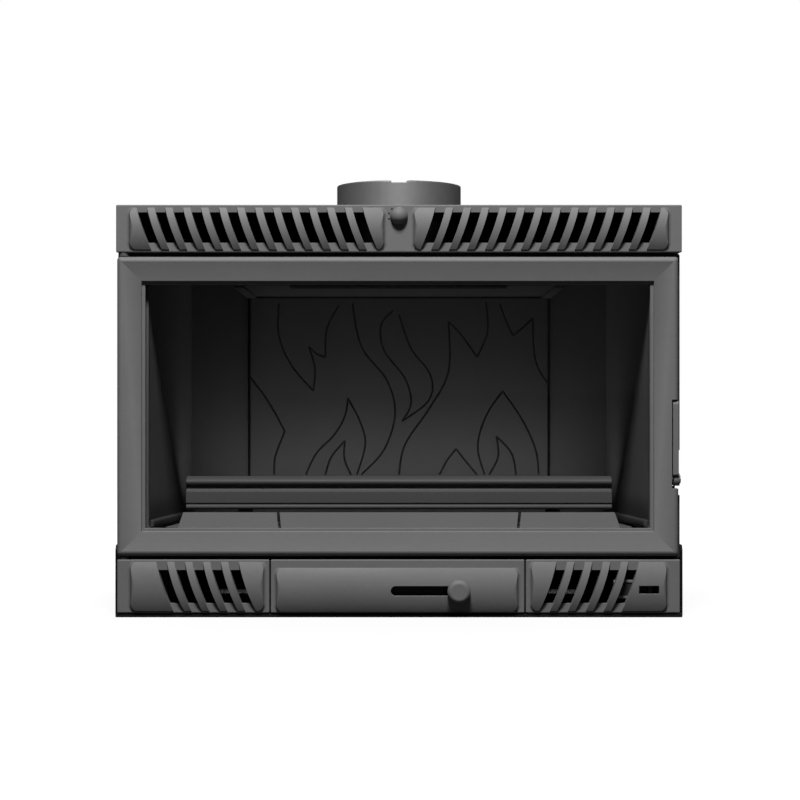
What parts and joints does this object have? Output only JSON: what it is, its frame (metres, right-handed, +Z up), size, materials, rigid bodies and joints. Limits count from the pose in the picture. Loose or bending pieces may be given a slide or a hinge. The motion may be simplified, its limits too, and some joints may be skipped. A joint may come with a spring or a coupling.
{
  "type": "fireplace insert",
  "caption": "Wide cast-iron fireplace insert with a glazed side-hung door, slotted convection grilles, an ash drawer with an air slide and a round flue collar with a damper.",
  "frame": {"origin": "underside of the base plate, in the middle of the insert's width and depth", "axes": "+Z up along the flue collar, +X to the right of someone facing the door, front faces -Y"},
  "size_m": [0.7086, 0.456, 0.557],
  "materials": {
    "front_iron": "heat-resistant dark grey paint over fine sand-cast iron, satin to matt",
    "chamber_iron": "heat-resistant dark grey paint over sand-cast iron, matt",
    "body_iron": "dark painted cast iron, matt",
    "casing_sheet": "folded sheet steel, black heat-resistant paint",
    "steel": "turned and bent steel, darkened",
    "stove_glass": "clear glass ceramic",
    "rope_seal": "knitted glass-fibre rope"
  },
  "bodies": {
    "root": {"base_plate": "front_iron", "body_legs": "body_iron", "side_skirt_left": "casing_sheet", "side_skirt_right": "casing_sheet", "firebox_floor": "body_iron", "firebox_side_left": "body_iron", "firebox_side_right": "body_iron", "firebox_back": "body_iron", "firebox_top": "body_iron", "front_frame": "front_iron", "side_liner_left": "chamber_iron", "side_liner_right": "chamber_iron", "fireback_plate": "chamber_iron", "back_panel_left": "chamber_iron", "back_panel_right": "chamber_iron", "baffle_plate": "chamber_iron", "baffle_rail_left": "casing_sheet", "baffle_rail_right": "casing_sheet", "hearth_ledge_left": "chamber_iron", "hearth_ledge_middle": "chamber_iron", "hearth_ledge_right": "chamber_iron", "hearth_bed": "chamber_iron", "fire_grate": "chamber_iron", "log_retainer": "chamber_iron", "flue_collar": "body_iron", "collar_bolts": "steel", "collar_ring": "casing_sheet", "hood_grille": "front_iron", "lower_left_grille": "front_iron", "lower_right_grille": "front_iron", "casing_left": "casing_sheet", "casing_right": "casing_sheet", "casing_back": "casing_sheet", "casing_top": "casing_sheet", "casing_screws": "steel", "drawer_guide_left": "casing_sheet", "drawer_guide_right": "casing_sheet", "drawer_stop": "casing_sheet", "hinge_pins": "steel", "catch_spring": "steel"},
    "door": {"door_frame": "front_iron", "door_glass": "stove_glass", "glass_gasket": "rope_seal", "glass_clips": "steel", "glass_clip_screws": "steel", "door_seal": "rope_seal", "latch_pivot": "steel"},
    "latch": {"latch_lever": "steel"},
    "damper": {"damper_knob": "front_iron", "damper_spindle": "steel", "damper_flap": "steel", "damper_set_screws": "steel", "spindle_clip": "steel"},
    "ash_drawer": {"ash_drawer_front": "front_iron", "ash_pan": "casing_sheet", "drawer_screws": "steel", "slider_guides": "casing_sheet"},
    "air_slide": {"air_slide": "casing_sheet", "air_knob": "front_iron"},
    "secondary_air": {"secondary_air_slide": "casing_sheet"}
  },
  "joints": [
    {"name": "door_hinge", "type": "hinge", "parent": "root", "child": "door", "pos_m": [-0.34095, -0.207, 0.076], "axis": [0, 0, -1], "range_deg": [0, 110]},
    {"name": "latch_turn", "type": "hinge", "parent": "door", "child": "latch", "pos_m": [0.34265, -0.207, 0.1706], "axis": [1, 0, 0], "range_deg": [0, 60]},
    {"name": "damper_turn", "type": "hinge", "parent": "root", "child": "damper", "pos_m": [0, 0.015, 0.4967], "axis": [0, 1, 0], "range_deg": [0, 90]},
    {"name": "ash_drawer_pull", "type": "slide", "parent": "root", "child": "ash_drawer", "axis": [0, -1, 0], "range_m": [0, 0.25]},
    {"name": "primary_air", "type": "slide", "parent": "ash_drawer", "child": "air_slide", "axis": [-1, 0, 0], "range_m": [0, 0.0777]},
    {"name": "secondary_air_shift", "type": "slide", "parent": "root", "child": "secondary_air", "axis": [1, 0, 0], "range_m": [0, 0.0077]}
  ]
}
